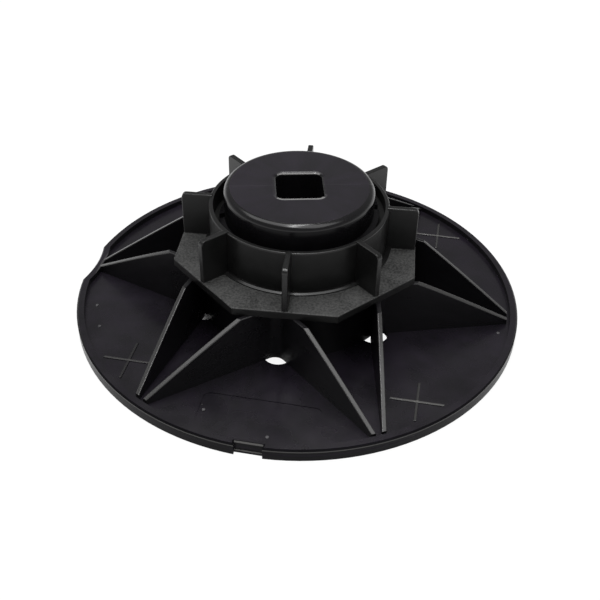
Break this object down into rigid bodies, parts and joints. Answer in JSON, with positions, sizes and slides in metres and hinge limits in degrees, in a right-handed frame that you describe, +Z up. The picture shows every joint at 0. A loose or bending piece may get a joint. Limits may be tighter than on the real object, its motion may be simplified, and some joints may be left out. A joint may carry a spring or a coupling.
{
  "type": "adjustable deck pedestal",
  "caption": "Round ribbed plastic base with an octagonal threaded collar with grip fins; turning the collar raises a hollow screw stem with a flat head that carries a deck.",
  "frame": {"origin": "middle of the base's flat underside, on the ground", "axes": "+Z up along the screw's axis; -Y towards the notch in the rim, at the front"},
  "size_m": [0.1991, 0.1998, 0.0605],
  "materials": {
    "base_plastic": "satin black moulded",
    "collar_plastic": "satin black, fine mould grain",
    "stem_plastic": "satin black moulded"
  },
  "bodies": {
    "base": {"base": "base_plastic"},
    "collar": {"adjusting_collar": "collar_plastic"},
    "stem": {"screw_stem": "stem_plastic"}
  },
  "joints": [
    {"name": "collar_spin", "type": "hinge", "parent": "base", "child": "collar", "pos_m": [0, 0, 0.03], "axis": [0, 0, -1], "range_deg": [0, 1800]},
    {"name": "stem_lift", "type": "slide", "parent": "base", "child": "stem", "axis": [0, 0, 1], "range_m": [0, 0.03]}
  ],
  "couplings": [
    {"joint": "stem_lift", "follows": "collar_spin", "m_per_rad": 0.00095493}
  ]
}
